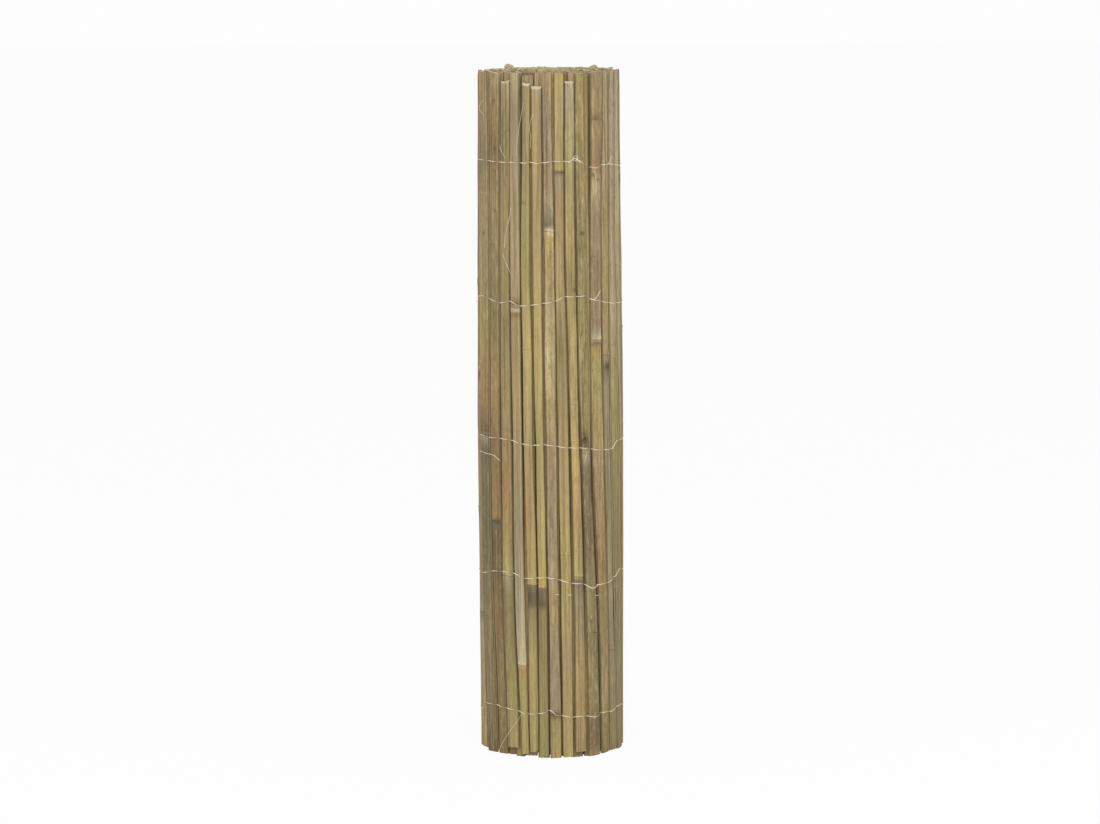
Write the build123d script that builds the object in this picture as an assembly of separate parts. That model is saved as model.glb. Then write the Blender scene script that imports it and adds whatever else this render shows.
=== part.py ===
from build123d import *
import math
import os

# A garden screen of split bamboo, rolled up and standing on its end.
# Every slat is held between the two strands of each wire row, which cross in the
# gaps between slats. The mat winds inwards as one spiral from its free edge.
# Z is up, the front is towards -Y, and the origin is under the middle of the roll.
# All lengths are in millimetres and all angles in degrees.

# Sizes of the mat
mat_length = 5000.0
slat_length = 993.0
slat_thickness = 4.4
slat_edge_thickness = 3.1
inner_slat_width = 16.6
inner_valley_depth = 1.5

# Sizes of the roll
outer_radius = 110.4
turn_pitch = 6.0
core_radius_least = 22.0
free_edge_angle = 33.0
inner_turn_foot = 0.0
inner_turn_drop = 6.0

# The roll is fattest half way up. Each value is how far the outer slats stand out
# there from their place at the narrow top.
bulge_middle = 4.4
bulge_foot = 2.2

# Joints of the bamboo, which stand out of the skin as low rings
joint_rise = 0.7
joint_half_height = 4.0
joint_to_middle_least = 8.0

# Binding wire
wire_size = 0.9
wire_clearance = 0.15
strand_gap = 0.25
lowest_row_height = 59.0
row_spacing = 201.0
row_count = 5
wire_end_length = 9.0
wire_end_droop = 3.0

# The outer turn, slat by slat from the free edge, which is the right of the middle
# of the front, leftwards across the front and round the back to the free edge again.
# Each row holds the slat's width, the gap after it, how far its foot is off the
# ground, how far its top falls short (less than zero stands proud), and the
# heights of its joints as shares of its length.
outer_slats = [
    (14.0, 3.0, 0.0, 1.5, (0.448, 0.183)),
    (14.0, 3.0, 8.0, 12.0, (0.262, 0.520)),
    (14.8, 2.9, 1.5, 0.5, (0.857, 0.300)),
    (14.4, 2.9, 0.5, 0.0, (0.772, 0.062)),
    (12.4, 3.1, 1.0, 19.0, (0.252, 0.690)),
    (13.2, 2.8, 8.5, 14.5, (0.256, 0.600)),
    (14.3, 2.9, 4.5, 1.0, (0.661, 0.137)),
    (16.6, 3.0, 12.5, 12.0, (0.265, 0.640)),
    (21.2, 3.0, 1.5, 0.5, (0.345, 0.750)),
    (24.2, 3.2, 1.0, 1.0, (0.462, 0.820)),
    (15.4, 3.0, 3.0, 0.5, (0.205, 0.560)),
    (14.6, 3.2, 0.5, 4.0, (0.690, 0.355)),
    (17.0, 2.8, 6.0, 0.0, (0.410, 0.760)),
    (15.8, 3.0, 2.0, 6.5, (0.310, 0.600)),
    (13.8, 3.2, 0.0, 1.0, (0.810, 0.480)),
    (16.4, 2.8, 7.5, 2.5, (0.160, 0.535)),
    (15.2, 3.0, 1.5, -7.0, (0.720, 0.330)),
    (14.8, 3.0, 4.0, 0.5, (0.612, 0.245)),
    (17.4, 3.1, 1.0, 3.0, (0.380, 0.705)),
    (18.2, 2.8, 2.0, 0.0, (0.355, 0.610)),
    (15.2, 2.9, 3.5, 1.5, (0.780, 0.430)),
    (14.4, 3.0, 6.5, 4.5, (0.170, 0.580)),
    (15.6, 3.0, 0.5, 1.0, (0.660, 0.300)),
    (13.8, 3.1, 1.5, -6.0, (0.420,)),
    (16.8, 2.9, 5.0, 3.5, (0.545,)),
    (15.2, 3.0, 0.0, 0.0, (0.590, 0.320)),
    (14.2, 3.0, 9.0, 8.0, (0.700, 0.415)),
    (17.2, 2.8, 1.0, 1.0, (0.185, 0.620)),
    (15.8, 3.2, 3.0, 0.5, (0.480, 0.845)),
    (14.8, 3.0, 8.8, 0.0, (0.330, 0.715)),
    (23.2, 3.0, 0.0, 0.5, (0.580, 0.240)),
    (10.2, 2.9, 1.5, 1.0, (0.588, 0.150)),
    (18.6, 2.9, 0.0, 0.5, (0.612, 0.930)),
]

skin_to_inner_face = slat_thickness + bulge_middle
edge_inner_radius = outer_radius - skin_to_inner_face
row_heights = [lowest_row_height + row_spacing * row for row in range(row_count)]
strand_offset = (wire_size + strand_gap) / 2


def bulge(height):
    """How far the outer slats stand out at a height, in two straight flanks."""
    middle = slat_length / 2
    if height <= middle:
        return bulge_foot + (bulge_middle - bulge_foot) * height / middle
    return bulge_middle * (slat_length - height) / middle


def spiral_radius(travel):
    """Radius of a slat's inner face at the top, after a travel from the free edge."""
    return edge_inner_radius - turn_pitch * travel / (2 * math.pi)


def on_slat(angle, radius, along, out):
    """The point of the plan that lies beside a slat's middle by along and out."""
    reach = radius + out
    return (
        reach * math.sin(angle) + along * math.cos(angle),
        -reach * math.cos(angle) + along * math.sin(angle),
    )


def half_turn(width, radius):
    """The angle that half a slat takes up at its inner face."""
    return math.atan(width / 2 / radius)


def place_outer_turn():
    """Chains slats leftwards from the free edge until one turn is full."""
    placed = []
    travel = 0.0
    number = 0
    while True:
        width, gap, foot, short, joints = outer_slats[number % len(outer_slats)]
        half = half_turn(width, spiral_radius(travel))
        after = half + gap / spiral_radius(travel)
        if travel + half + after > 2 * math.pi:
            return placed, travel
        middle = travel + half
        placed.append(
            dict(
                angle=math.radians(free_edge_angle) - middle,
                radius=spiral_radius(middle),
                width=width,
                gap=gap,
                foot=foot,
                top=slat_length - short,
                joints=joints,
            )
        )
        travel = middle + after
        number += 1


def clear_of_wire(height):
    """Moves a joint up where a wire row would lie on it."""
    keep = joint_half_height + wire_size + strand_offset + wire_clearance
    for row in row_heights:
        if abs(height - row) < keep:
            return row + keep
    return height


def slat_stations(slat):
    """Heights and rises of the sections that a slat is lofted through."""
    stations = [(slat["foot"], 0.0), (slat["top"], 0.0)]
    middle = slat_length / 2
    if slat["foot"] < middle < slat["top"]:
        stations.append((middle, 0.0))
    for share in slat["joints"]:
        height = clear_of_wire(share * slat_length)
        if abs(height - middle) < joint_to_middle_least:
            height = middle + joint_to_middle_least
        stations.append((height - joint_half_height, 0.0))
        stations.append((height, joint_rise))
        stations.append((height + joint_half_height, 0.0))
    return sorted(stations)


def slat_section(slat, height, rise):
    """A flat split face towards the roll and a domed skin outside."""
    half = slat["width"] / 2
    profile = [
        (-half, 0.0),
        (half, 0.0),
        (half, slat_edge_thickness + rise),
        (half / 2, slat_thickness + rise),
        (-half / 2, slat_thickness + rise),
        (-half, slat_edge_thickness + rise),
    ]
    radius = slat["radius"] + bulge(height)
    points = [on_slat(slat["angle"], radius, along, out) for along, out in profile]
    return Wire.make_polygon([Vector(x, y, height) for x, y in points], close=True)


def make_slat(slat):
    sections = [slat_section(slat, height, rise) for height, rise in slat_stations(slat)]
    return Solid.make_loft(sections, ruled=True)


def make_inner_turns(travel):
    """The rest of the mat as one spiral wall with a ridge for every slat."""
    left_to_wind = mat_length - sum(slat["width"] + slat["gap"] for slat in outer_turn)
    skin = []
    back = []
    angle = travel
    while left_to_wind > 0 and spiral_radius(angle) > core_radius_least:
        here = math.radians(free_edge_angle) - angle
        radius = spiral_radius(angle)
        skin.append(on_slat(here, radius, 0.0, slat_thickness - inner_valley_depth))
        back.append(on_slat(here, radius, 0.0, 0.0))
        half = half_turn(inner_slat_width, radius)
        angle += half
        here = math.radians(free_edge_angle) - angle
        skin.append(on_slat(here, spiral_radius(angle), 0.0, slat_thickness))
        angle += half
        left_to_wind -= inner_slat_width
    here = math.radians(free_edge_angle) - angle
    radius = spiral_radius(angle)
    skin.append(on_slat(here, radius, 0.0, slat_thickness - inner_valley_depth))
    back.append(on_slat(here, radius, 0.0, 0.0))
    outline = Wire.make_polygon(
        [Vector(x, y, inner_turn_foot) for x, y in skin + back[::-1]], close=True
    )
    height = slat_length - inner_turn_drop - inner_turn_foot
    return Solid.extrude(Face(outline), Vector(0, 0, height))


def offset_line(points, distance):
    """The line moved sideways by a distance, with mitred corners."""
    moved = []
    for n, (x, y) in enumerate(points):
        before = points[max(n - 1, 0)]
        after = points[min(n + 1, len(points) - 1)]
        turns = []
        for (x0, y0), (x1, y1) in ((before, (x, y)), ((x, y), after)):
            run = math.hypot(x1 - x0, y1 - y0)
            if run > 0:
                turns.append((-(y1 - y0) / run, (x1 - x0) / run))
        nx = sum(t[0] for t in turns)
        ny = sum(t[1] for t in turns)
        size = math.hypot(nx, ny)
        nx, ny = nx / size, ny / size
        reach = distance / (nx * turns[0][0] + ny * turns[0][1])
        moved.append((x + nx * reach, y + ny * reach))
    return moved


def make_strand(height, starts_outside):
    """One strand of a wire row, over and under the slats of the outer turn."""
    side = wire_size / 2 + wire_clearance
    swell = bulge(height)
    first = outer_turn[0]
    free_end = on_slat(
        first["angle"],
        first["radius"] + swell,
        first["width"] / 2 + side + wire_end_length,
        slat_thickness + side - wire_end_droop,
    )
    points = [free_end]
    outside = starts_outside
    for slat in outer_turn:
        out = slat_thickness + side if outside else -side
        ends = (slat["width"] / 2 + side, -slat["width"] / 2 - side)
        radius = slat["radius"] + swell
        points += [on_slat(slat["angle"], radius, along, out) for along in ends]
        outside = not outside
    if outside:
        points += lie_on_inner_turns(side)
    else:
        points.append(end_in_last_gap(side, swell))
    outline = offset_line(points, wire_size / 2)
    outline += offset_line(points, -wire_size / 2)[::-1]
    low = height - wire_size / 2
    face = Face(Wire.make_polygon([Vector(x, y, low) for x, y in outline], close=True))
    return Solid.extrude(face, Vector(0, 0, wire_size))


def lie_on_inner_turns(side):
    """Where a strand comes out of the last gap and over the first inner slat."""
    start = math.radians(free_edge_angle) - travel_used
    radius = spiral_radius(travel_used)
    crown = travel_used + half_turn(inner_slat_width, radius)
    out = slat_thickness + side
    return [
        on_slat(start, radius, side, out),
        on_slat(math.radians(free_edge_angle) - crown, spiral_radius(crown), 0.0, out),
    ]


def end_in_last_gap(side, swell):
    """Where a strand ends behind the edge of the last slat of the outer turn."""
    last = outer_turn[-1]
    radius = last["radius"] + swell
    return on_slat(last["angle"], radius, -last["width"] / 2 - side, slat_thickness / 2)


outer_turn, travel_used = place_outer_turn()

pieces = {}
for number, slat in enumerate(outer_turn, start=1):
    pieces[f"slat_{number:02d}"] = make_slat(slat)
pieces["inner_turns"] = make_inner_turns(travel_used)
for number, height in enumerate(row_heights, start=1):
    pieces[f"wire_{number}_upper_strand"] = make_strand(height + strand_offset, True)
    pieces[f"wire_{number}_lower_strand"] = make_strand(height - strand_offset, False)

# The origin goes under the middle of the whole roll.
boxes = [piece.bounding_box() for piece in pieces.values()]
shift_x = -(min(box.min.X for box in boxes) + max(box.max.X for box in boxes)) / 2
shift_y = -(min(box.min.Y for box in boxes) + max(box.max.Y for box in boxes)) / 2

os.makedirs("parts", exist_ok=True)
for name, piece in pieces.items():
    placed = piece.moved(Location((shift_x, shift_y, 0)))
    placed.label = name
    export_step(placed, f"parts/{name}.step")
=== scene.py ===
import math
import random

import bmesh
import bpy
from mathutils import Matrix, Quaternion, Vector, noise


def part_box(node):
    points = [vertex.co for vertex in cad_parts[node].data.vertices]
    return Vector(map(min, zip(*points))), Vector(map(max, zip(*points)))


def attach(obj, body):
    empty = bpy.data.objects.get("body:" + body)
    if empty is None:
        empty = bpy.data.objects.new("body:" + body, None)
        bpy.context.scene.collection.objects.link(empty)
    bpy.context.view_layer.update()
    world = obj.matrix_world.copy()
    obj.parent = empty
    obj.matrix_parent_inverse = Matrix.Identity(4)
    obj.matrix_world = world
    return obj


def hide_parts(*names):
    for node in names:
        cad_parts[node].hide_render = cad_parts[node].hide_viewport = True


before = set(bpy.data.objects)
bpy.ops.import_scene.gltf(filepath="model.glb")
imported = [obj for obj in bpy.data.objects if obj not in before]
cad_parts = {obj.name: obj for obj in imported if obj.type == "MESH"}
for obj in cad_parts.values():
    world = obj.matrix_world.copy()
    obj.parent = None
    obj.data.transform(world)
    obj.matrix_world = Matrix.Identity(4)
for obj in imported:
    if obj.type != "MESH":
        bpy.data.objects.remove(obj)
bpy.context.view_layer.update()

mm = 0.001
draw = random.Random(41)  # every random choice comes from this one stream

# The roll as the solids have it, in millimetres and degrees
roll = dict(
    slatLength=993.0, thickness=4.4, edgeThickness=3.1, outerRadius=110.4, turnPitch=6.0,
    bulgeMiddle=4.4, bulgeFoot=2.2, freeEdgeAngle=33.0, matLength=5000.0, topLimit=1000.0,
    jointRise=0.7, jointToWire=5.6,
)
toneCast = (1.0, 0.985, 0.955)  # taken out of every tone, as the light puts it back
rowHeights = (59.0, 260.0, 461.0, 662.0, 863.0)
edgeRadius = roll["outerRadius"] - roll["thickness"] - roll["bulgeMiddle"]

# Colours as they look on the photographed object, 0 to 255
tones = dict(
    tan=(168, 149, 108), straw=(176, 160, 106), pink=(175, 156, 124), olive=(140, 127, 86),
    amber=(172, 145, 98), grey=(156, 144, 118), pale=(186, 171, 132), green=(160, 150, 98),
    brown=(140, 115, 79), slate=(113, 103, 80), mauve=(154, 134, 107), yellow=(186, 164, 98),
    cream=(204, 190, 156), moss=(120, 116, 84), umber=(117, 97, 64), rust=(163, 130, 88),
    # wire is the pale of the painted highlight on the binding wire, and the palest of the dry fibres
    lichen=(138, 134, 98), ash=(174, 163, 138), soot=(80, 70, 49), wire=(255, 250, 234),
    end=(222, 210, 182),
)

# Outer turn, from the free edge leftwards across the front and on round the back: width,
# gap after it, foot off the ground, top short of full and joints as shares of the height, as
# the solids have them. Then, at the five drift heights from the foot up, how many degrees
# the gap after the slat strays to the right and how wide it is in millimetres. Then how far
# the slat leans about its own length, how soiled it is, and its tones from the foot up. cut is
# how much lower the saw left the outside of the top than its inside, shoulder how far the top is
# rounded off at its sides, and quiet the joints whose ring barely shows. knots gives the height,
# place across and size of dark knots in millimetres.
outerSlats = [
    dict(width=14.0, gap=3.0, foot=0.0, short=1.5, joints=(0.448, 0.183), quiet=(0.183,),
         drift=(3.5, 2, -2.5, -4.8, -4.5), opening=(5.8, 3.5, 2.5, 3.6, 1.5), lean=2, stain=0.9,
         tones=((0, "rust"), (0.012, "umber"), (0.05, "slate"), (0.075, "olive"), (0.14, "olive"),
                (0.182, "moss"), (0.20, "olive"), (0.26, "lichen"), (0.31, "slate"), (0.43, "slate"),
                (0.446, "ash"), (0.452, "mauve"), (0.458, "soot"), (0.468, "soot"), (0.49, "olive"),
                (0.6, "green"), (0.75, "olive"), (1, "green")),
         knots=((467, 0.0, 6.0), (763, 0.1, 3.0), (200, -0.3, 3.0), (672, -0.6, 2.6))),
    dict(width=14.0, gap=3.0, foot=8.0, short=12.0, joints=(0.262, 0.520), quiet=(0.520,), cut=3.4,
         drift=(2, 1.5, -1, -4, -3.2), opening=(4.3, 5, 4, 2, 2), lean=-1, stain=0.4,
         tones=((0, "tan"), (0.1, "amber"), (0.2, "tan"), (0.235, "grey"), (0.262, "slate"),
                (0.268, "straw"), (0.36, "amber"), (0.44, "yellow"), (0.52, "tan"), (0.62, "straw"),
                (0.70, "olive"), (0.76, "straw"), (0.84, "green"), (0.92, "pale"), (0.985, "ash"),
                (1, "cream")), knots=((681, 0.7, 3.4),)),
    dict(width=14.8, gap=2.9, foot=1.5, short=0.5, joints=(0.857, 0.300), quiet=(0.300,),
         drift=(2.5, 1, -0.5, -1.5, -2.5), opening=(2.3, 5.4, 1.6, 1.4, 5), lean=1, stain=0.2,
         tones=((0, "straw"), (0.15, "tan"), (0.3, "straw"), (0.45, "tan"), (0.6, "olive"),
                (0.7, "tan"), (0.82, "mauve"), (0.850, "grey"), (0.856, "umber"), (0.862, "straw"),
                (0.9, "tan"), (1, "straw"))),
    dict(width=14.4, gap=2.9, foot=0.5, short=0.0, joints=(0.772, 0.062),
         drift=(2, 1.5, -0.5, -1, -1), opening=(2.3, 2.7, 4, 4.4, 1), lean=-2, stain=0.6,
         tones=((0, "straw"), (0.055, "tan"), (0.066, "soot"), (0.072, "grey"), (0.14, "grey"),
                (0.22, "tan"), (0.34, "grey"), (0.42, "mauve"), (0.5, "tan"), (0.6, "pale"),
                (0.7, "tan"), (0.764, "yellow"), (0.768, "cream"), (0.775, "cream"), (0.779, "slate"),
                (0.80, "grey"), (0.86, "mauve"), (0.94, "grey"), (1, "tan"))),
    dict(width=12.4, gap=3.1, foot=1.0, short=19.0, joints=(0.252, 0.690), quiet=(0.690,), cut=4.5,
         drift=(2, 2.5, 0, -1.5, -1.5), opening=(1.5, 2, 4.4, 5, 3.4), lean=2, stain=0.15,
         tones=((0, "green"), (0.16, "olive"), (0.218, "olive"), (0.226, "soot"), (0.250, "slate"),
                (0.254, "yellow"), (0.33, "straw"), (0.45, "green"), (0.6, "straw"), (0.8, "tan"),
                (0.95, "tan"), (1, "ash"))),
    dict(width=13.2, gap=2.8, foot=8.5, short=14.5, joints=(0.256, 0.600), quiet=(0.600,), cut=4.2,
         drift=(4, 2, 0, -1.5, -0.5), opening=(1.5, 7.0, 3.6, 2.2, 10), lean=-1, stain=0.15,
         tones=((0, "straw"), (0.15, "straw"), (0.222, "olive"), (0.230, "soot"), (0.2545, "slate"),
                (0.258, "straw"), (0.36, "amber"), (0.46, "tan"), (0.6, "straw"), (0.75, "green"),
                (0.9, "tan"), (1, "tan")),
         knots=((807, -0.4, 2.0),)),
    dict(width=14.3, gap=2.9, foot=4.5, short=1.0, joints=(0.661, 0.137),
         drift=(6, 1, 0.5, -1.5, -0.5), opening=(6.5, 2, 4.5, 1.2, 1.4), lean=1, stain=0.1,
         tones=((0, "straw"), (0.1, "straw"), (0.133, "amber"), (0.139, "cream"), (0.2, "ash"),
                (0.35, "grey"), (0.5, "tan"), (0.644, "tan"), (0.652, "brown"), (0.657, "cream"),
                (0.666, "umber"), (0.674, "pink"), (0.85, "pink"), (0.95, "mauve"), (1, "pale"))),
    dict(width=16.6, gap=3.0, foot=12.5, short=12.0, joints=(0.265, 0.640), quiet=(0.640,), cut=4.0,
         drift=(5, 1, 0.5, 0, 0.8), opening=(2, 2.5, 4, 2.6, 2.4), lean=-2, stain=0.4,
         tones=((0, "tan"), (0.1, "green"), (0.18, "olive"), (0.24, "olive"), (0.262, "grey"),
                (0.272, "straw"), (0.4, "rust"), (0.5, "tan"), (0.65, "olive"), (0.8, "tan"),
                (0.93, "olive"), (1, "pale"))),
    dict(width=21.2, gap=3.0, foot=1.5, short=0.5, joints=(0.345, 0.750), quiet=(0.750,),
         drift=(8.5, 2.5, 0.5, 1.5, -1), opening=(2.2, 2.4, 3.4, 3, 3), lean=1, stain=0.75,
         tones=((0, "brown"), (0.1, "olive"), (0.2, "brown"), (0.32, "umber"), (0.34, "slate"),
                (0.347, "soot"), (0.352, "rust"), (0.45, "brown"), (0.55, "amber"), (0.65, "olive"),
                (0.8, "tan"), (0.9, "brown"), (1, "tan")),
         knots=((952, 0.1, 2.4), (883, 0.3, 2.6), (794, 0.2, 2.4))),
    dict(width=24.2, gap=3.2, foot=1.0, short=1.0, joints=(0.462, 0.820), quiet=(0.820,),
         drift=(9, 1, 0, -4.5, -5.5), opening=(2.2, 2.2, 2.2, 2.4, 3), lean=-2, stain=0.75,
         tones=((0, "umber"), (0.05, "moss"), (0.12, "olive"), (0.2, "olive"), (0.3, "moss"),
                (0.42, "moss"), (0.45, "slate"), (0.465, "ash"), (0.475, "umber"), (0.52, "rust"),
                (0.62, "straw"), (0.72, "tan"), (0.82, "tan"), (0.88, "mauve"), (0.95, "tan"),
                (1, "tan")), knots=((760, 0.2, 2.6),)),
    dict(width=15.4, gap=3.0, foot=3.0, short=0.5, joints=(0.205, 0.560)),
    dict(width=14.6, gap=3.2, foot=0.5, short=4.0, joints=(0.690, 0.355)),
    dict(width=17.0, gap=2.8, foot=6.0, short=0.0, joints=(0.410, 0.760)),
    dict(width=15.8, gap=3.0, foot=2.0, short=6.5, joints=(0.310, 0.600)),
    dict(width=13.8, gap=3.2, foot=0.0, short=1.0, joints=(0.810, 0.480)),
    dict(width=16.4, gap=2.8, foot=7.5, short=2.5, joints=(0.160, 0.535)),
    dict(width=15.2, gap=3.0, foot=1.5, short=-5.5, joints=(0.720, 0.330), shoulder=3.5, cut=-0.5),
    dict(width=14.8, gap=3.0, foot=4.0, short=0.5, joints=(0.612, 0.245)),
    dict(width=17.4, gap=3.1, foot=1.0, short=3.0, joints=(0.380, 0.705)),
    dict(width=18.2, gap=2.8, foot=2.0, short=0.0, joints=(0.355, 0.610)),
    dict(width=15.2, gap=2.9, foot=3.5, short=1.5, joints=(0.780, 0.430)),
    dict(width=14.4, gap=3.0, foot=6.5, short=4.5, joints=(0.170, 0.580)),
    dict(width=15.6, gap=3.0, foot=0.5, short=1.0, joints=(0.660, 0.300)),
    dict(width=13.8, gap=3.1, foot=1.5, short=-3.4, joints=(0.420,), shoulder=3.0, cut=-0.5),
    dict(width=16.8, gap=2.9, foot=5.0, short=3.5, joints=(0.545,)),
    dict(width=15.2, gap=3.0, foot=0.0, short=0.0, joints=(0.590, 0.320)),
    dict(width=14.2, gap=3.0, foot=9.0, short=8.0, joints=(0.700, 0.415)),
    dict(width=17.2, gap=2.8, foot=1.0, short=1.0, joints=(0.185, 0.620)),
    dict(width=15.8, gap=3.2, foot=3.0, short=0.5, joints=(0.480, 0.845)),
    dict(width=14.8, gap=3.0, foot=8.8, short=0.0, joints=(0.330, 0.715), quiet=(0.330, 0.715),
         drift=(12, 10, 2.5, -5, -2), opening=(2, 1.6, 1.6, 1.6, 1.8), lean=1, stain=0.5,
         tones=((0, "lichen"), (0.3, "olive"), (0.6, "pale"), (0.8, "pale"), (1, "ash"))),
    dict(width=23.2, gap=3.0, foot=0.0, short=0.5, joints=(0.580, 0.240), quiet=(0.580, 0.240),
         drift=(12, 6, 0, 1, 3.5), opening=(2.6, 1.6, 1.8, 1.6, 3.4), lean=-1, stain=0.5,
         tones=((0, "olive"), (0.15, "lichen"), (0.3, "olive"), (0.5, "green"), (0.65, "pale"),
                (0.8, "pink"), (0.9, "ash"), (1, "ash"))),
    dict(width=10.2, gap=2.9, foot=1.5, short=1.0, joints=(0.588, 0.150), quiet=(0.150,),
         drift=(7.5, 5.5, 0, -1, 3.5), opening=(1.6, 1.6, 2, 1.6, 1.6), lean=2, stain=0.5,
         tones=((0, "olive"), (0.2, "grey"), (0.4, "lichen"), (0.54, "grey"), (0.57, "slate"),
                (0.585, "grey"), (0.592, "tan"), (0.7, "straw"), (0.85, "pink"), (1, "pale")),
         knots=((568, 0.0, 4.5),)),
    dict(width=18.6, gap=2.9, foot=0.0, short=0.5, joints=(0.612, 0.930), quiet=(0.930,),
         drift=(10, 7, -1, -0.8, 2.8), opening=(0.5, 0.5, 0.5, 0.5, 0.5), lean=-1, stain=0.7,
         tones=((0, "olive"), (0.1, "tan"), (0.2, "olive"), (0.3, "rust"), (0.45, "tan"),
                (0.55, "straw"), (0.602, "yellow"), (0.606, "soot"), (0.612, "cream"), (0.624, "ash"),
                (0.632, "mauve"), (0.7, "mauve"), (0.78, "mauve"), (0.83, "pale"), (0.87, "brown"),
                (0.92, "tan"), (0.935, "brown"), (0.95, "tan"), (1, "mauve")),
         knots=((926, -0.25, 3.4), (845, -0.7, 2.6), (838, 0.3, 2.2))),
]
driftHeights = (0.03, 0.22, 0.48, 0.76, 0.975)
freeEdgeDrift = (7, 3.5, -4.5, -3.5, -6.2)  # of the free edge itself, in degrees
backTones = ("tan", "straw", "olive", "green", "pink", "grey", "amber", "pale", "mauve", "lichen", "brown")


def blendLine(stops, values, at):
    # straight runs between values that are given at rising stops
    if at <= stops[0]:
        return values[0]
    for low, high, start, end in zip(stops, stops[1:], values, values[1:]):
        if at <= high:
            return start + (end - start) * (at - low) / (high - low)
    return values[-1]


def stepsAround(at, reach, count):
    return [at + reach * (2 * n / (count - 1) - 1) for n in range(count)]


def blendSoft(stops, values, at):
    # the same runs, rounded where they meet
    steps = stepsAround(at, slatShape["edgeSoft"], 7)
    return sum(blendLine(stops, values, step) for step in steps) / len(steps)


def wave(*place):
    return noise.noise(Vector(place))


def bulge(height):
    middle = roll["slatLength"] / 2
    if height <= middle:
        return roll["bulgeFoot"] + (roll["bulgeMiddle"] - roll["bulgeFoot"]) * height / middle
    return roll["bulgeMiddle"] * max(roll["slatLength"] - height, 0) / middle


def softBulge(height):
    # the solids' swelling, with its kink at half height rounded off
    steps = stepsAround(height, slatShape["bulgeSoft"], 9)
    return sum(bulge(min(max(step, 0), roll["slatLength"])) for step in steps) / len(steps)


def spiralRadius(travel):
    return edgeRadius - roll["turnPitch"] * travel / (2 * math.pi)


def onSlat(angle, radius, along, out):
    reach = radius + out
    return (reach * math.sin(angle) + along * math.cos(angle),
            -reach * math.cos(angle) + along * math.sin(angle))


def guessSlat(row):
    # the slat's row, with guesses for what the row doesn't give
    return dict(
        stain=draw.choice((0.1, 0.2, 0.4, 0.6)), lean=draw.uniform(-3, 3),
        drift=tuple(draw.uniform(-2, 2) for stop in driftHeights),
        opening=tuple(draw.uniform(1, 5) for stop in driftHeights),
        tones=guessTones(row["joints"]), cut=draw.uniform(-1.5, 1.5) * (draw.random() < 0.7),
        shoulder=0.0, quiet=(), knots=(),
    ) | row


def jointLevels(shares):
    return [clearOfWire(share * roll["slatLength"]) for share in shares]


def gapEdge(slat, gapMiddle, side):
    # the angles of one side of the gap after a slat, at the drift heights
    perMm = math.degrees(1 / slat["radius"])
    return [gapMiddle + d + side * o / 2 * perMm for d, o in zip(slat["drift"], slat["opening"])]


def placeOuterTurn():
    placed = []
    travel = 0.0
    freeEdge = math.radians(roll["freeEdgeAngle"])
    right = [roll["freeEdgeAngle"] + drift for drift in freeEdgeDrift]
    for number, row in enumerate(outerSlats, start=1):
        half = math.atan(row["width"] / 2 / spiralRadius(travel))
        middle = travel + half
        slat = guessSlat(row)
        turned = math.degrees(middle) - roll["freeEdgeAngle"]
        share = slatShape["gapShare" if abs(turned) < slatShape["frontHalf"] else "sideGapShare"]
        gapTurn = row["gap"] / spiralRadius(travel)
        travel = middle + half + gapTurn
        gapMiddle = math.degrees(freeEdge - travel + gapTurn / 2)
        slat.update(
            name=f"slat_{number:02d}", number=number, radius=spiralRadius(middle), angle=freeEdge - middle,
            top=roll["slatLength"] - row["short"], opening=[width * share for width in slat["opening"]],
            jointHeights=jointLevels(row["joints"]), quietHeights=jointLevels(slat["quiet"]), right=right,
        )
        slat["left"] = gapEdge(slat, gapMiddle, 1)
        right = gapEdge(slat, gapMiddle, -1)
        placed.append(slat)
    return placed, travel


def guessTones(joints):
    # tones of a slat that the photograph doesn't show
    shades = [draw.choice(backTones) for n in range(5)]
    stops = [(0, shades[0]), (0.5, shades[1]), (1, shades[2])]
    for joint in joints:
        stops += [(joint - 0.02, shades[3]), (joint - 0.004, draw.choice(("slate", "umber", "grey"))),
                  (joint + 0.006, draw.choice(("cream", "ash", "pale"))), (joint + 0.02, shades[4])]
    return tuple(sorted(stops))


def clearOfWire(height):
    for row in rowHeights:
        if abs(height - row) < roll["jointToWire"]:
            return row + roll["jointToWire"]
    return height


def edgesAt(slat, height):
    # the slat's middle angle and half width at a height, from the lines of its two edges
    share = height / roll["slatLength"]
    left = math.radians(blendSoft(driftHeights, slat["left"], share))
    right = math.radians(blendSoft(driftHeights, slat["right"], share))
    half = (slat["radius"] + slatShape["skinMiddle"]) * math.tan(max((right - left) / 2, 0.01))
    return (left + right) / 2, half


slatShape = dict(
    ringSpacing=9.0, jointRings=(-9, -5, -2.5, -1, 0, 1, 2.5, 5, 9), skinFrom=2.2,
    slowWander=0.5, quickWander=0.14, thinning=0.14, endRag=1.5, footRag=0.9, endSlope=1.2,
    hollow=0.3, sway=0.5, knotShare=0.8, gapShare=0.78, sideGapShare=1.15, frontHalf=42,
    edgeSoft=0.09, bulgeSoft=120.0, skinMiddle=3.0, seedStep=17.3, slowWave=130, quickWave=17,
    thinWave=160, swayWave=210, jointSlant=0.7, jointRag=1.2, jointSpread=0.25, endDrop=0.4,
    tipRag=1.7, footTipRag=1.9, jointReach=20.0, jointClear=11.0, jointFar=99.0,
)
outerTurn, outerTravel = placeOuterTurn()


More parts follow.
